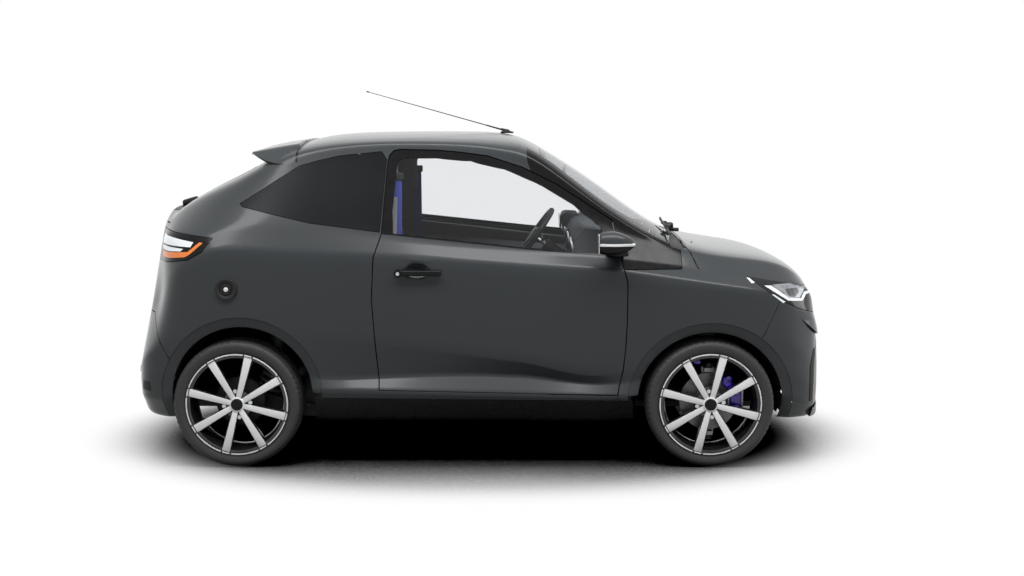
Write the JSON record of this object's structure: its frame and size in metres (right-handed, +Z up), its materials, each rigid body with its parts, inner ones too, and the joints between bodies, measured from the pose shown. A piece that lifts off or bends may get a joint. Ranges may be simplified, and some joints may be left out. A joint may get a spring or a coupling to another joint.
{
  "type": "microcar",
  "caption": "Two-seat three-door microcar with swinging doors, lifting bonnet and glass tailgate, steered front wheels and spoked alloy wheels.",
  "frame": {"origin": "on the ground below the middle of the car's outline", "axes": "+X forward, +Y to the car's left, +Z up"},
  "size_m": [3.024, 1.744, 1.6394],
  "materials": {
    "paint": "matt metallic blue-grey",
    "gloss_black": "gloss black",
    "black_plastic": "grained black",
    "clear_glass": "clear",
    "dark_glass": "privacy tint",
    "lamp_lens": "clear lens",
    "lamp_red": "tail lamp lens",
    "coated_steel": "black coating",
    "bare_steel": "dull",
    "engine_metal": "cast",
    "cast_metal": "cast",
    "cabin_plastic": "grained dark grey",
    "wheel_leather": "smooth",
    "seat_cloth": "woven with bright edging",
    "tyre": "rubber",
    "alloy": "diamond-turned face with gloss black windows"
  },
  "bodies": {
    "root": {"antenna": "black_plastic", "body_side_left": "paint", "body_side_right": "paint", "boot_floor": "coated_steel", "console": "cabin_plastic", "cowl": "black_plastic", "dashboard": "cabin_plastic", "engine_block": "engine_metal", "exhaust": "bare_steel", "fenders": "paint", "firewall": "coated_steel", "floor_pan": "coated_steel", "front_bumper": "paint", "front_liners": "black_plastic", "front_suspension": "coated_steel", "fuel_cap": "black_plastic", "headlamps": "lamp_lens", "quarter_glass": "dark_glass", "rear_bumper": "paint", "rear_liners": "black_plastic", "rear_suspension": "coated_steel", "roof_panel": "paint", "seat_frames": "coated_steel", "seats": "seat_cloth", "sills": "gloss_black", "spoiler": "paint", "steering_column": "cabin_plastic", "tail_lamps": "lamp_red", "tail_panel": "paint", "windscreen": "clear_glass", "wiper": "black_plastic"},
    "door_left": {"door_left": "paint", "door_glass_left": "clear_glass", "door_mirror_left": "gloss_black"},
    "door_right": {"door_right": "paint", "door_glass_right": "clear_glass", "door_mirror_right": "gloss_black"},
    "bonnet": {"bonnet": "paint"},
    "tailgate": {"hatch_glass": "dark_glass"},
    "knuckle_left": {"knuckle_left": "cast_metal"},
    "knuckle_right": {"knuckle_right": "cast_metal"},
    "steering_wheel": {"steering_wheel": "wheel_leather"},
    "wheel_front_left": {"tyre_front_left": "tyre", "rim_front_left": "alloy"},
    "wheel_front_right": {"tyre_front_right": "tyre", "rim_front_right": "alloy"},
    "wheel_rear_left": {"tyre_rear_left": "tyre", "rim_rear_left": "alloy"},
    "wheel_rear_right": {"tyre_rear_right": "tyre", "rim_rear_right": "alloy"}
  },
  "joints": [
    {"name": "steer_left", "type": "hinge", "parent": "root", "child": "knuckle_left", "pos_m": [0.999, 0.645, 0.2775], "axis": [0, 0, 1], "range_deg": [-32, 32]},
    {"name": "steer_right", "type": "hinge", "parent": "root", "child": "knuckle_right", "pos_m": [0.999, -0.645, 0.2775], "axis": [0, 0, 1], "range_deg": [-32, 32]},
    {"name": "steering_wheel_turn", "type": "hinge", "parent": "root", "child": "steering_wheel", "pos_m": [0.252, 0.37, 0.92], "axis": [-0.8192, 0, 0.5736], "range_deg": [-480, 480]},
    {"name": "wheel_front_left_spin", "type": "hinge", "parent": "knuckle_left", "child": "wheel_front_left", "pos_m": [0.999, 0.645, 0.2775], "axis": [0, 1, 0], "continuous": true},
    {"name": "wheel_front_right_spin", "type": "hinge", "parent": "knuckle_right", "child": "wheel_front_right", "pos_m": [0.999, -0.645, 0.2775], "axis": [0, 1, 0], "continuous": true},
    {"name": "wheel_rear_left_spin", "type": "hinge", "parent": "root", "child": "wheel_rear_left", "pos_m": [-1.046, 0.645, 0.2775], "axis": [0, 1, 0], "continuous": true},
    {"name": "wheel_rear_right_spin", "type": "hinge", "parent": "root", "child": "wheel_rear_right", "pos_m": [-1.046, -0.645, 0.2775], "axis": [0, 1, 0], "continuous": true},
    {"name": "door_left_swing", "type": "hinge", "parent": "root", "child": "door_left", "pos_m": [0.575, 0.73, 0.77], "axis": [0, 0, -1], "range_deg": [0, 65]},
    {"name": "door_right_swing", "type": "hinge", "parent": "root", "child": "door_right", "pos_m": [0.575, -0.73, 0.77], "axis": [0, 0, 1], "range_deg": [0, 65]},
    {"name": "bonnet_lift", "type": "hinge", "parent": "root", "child": "bonnet", "pos_m": [0.95, 0, 0.95], "axis": [0, -1, 0], "range_deg": [0, 60]},
    {"name": "tailgate_lift", "type": "hinge", "parent": "root", "child": "tailgate", "pos_m": [-0.999, 0, 1.298], "axis": [0, 1, 0], "range_deg": [0, 60]}
  ],
  "couplings": [
    {"joint": "steer_right", "follows": "steer_left", "ratio": 1},
    {"joint": "steering_wheel_turn", "follows": "steer_left", "ratio": 15}
  ]
}
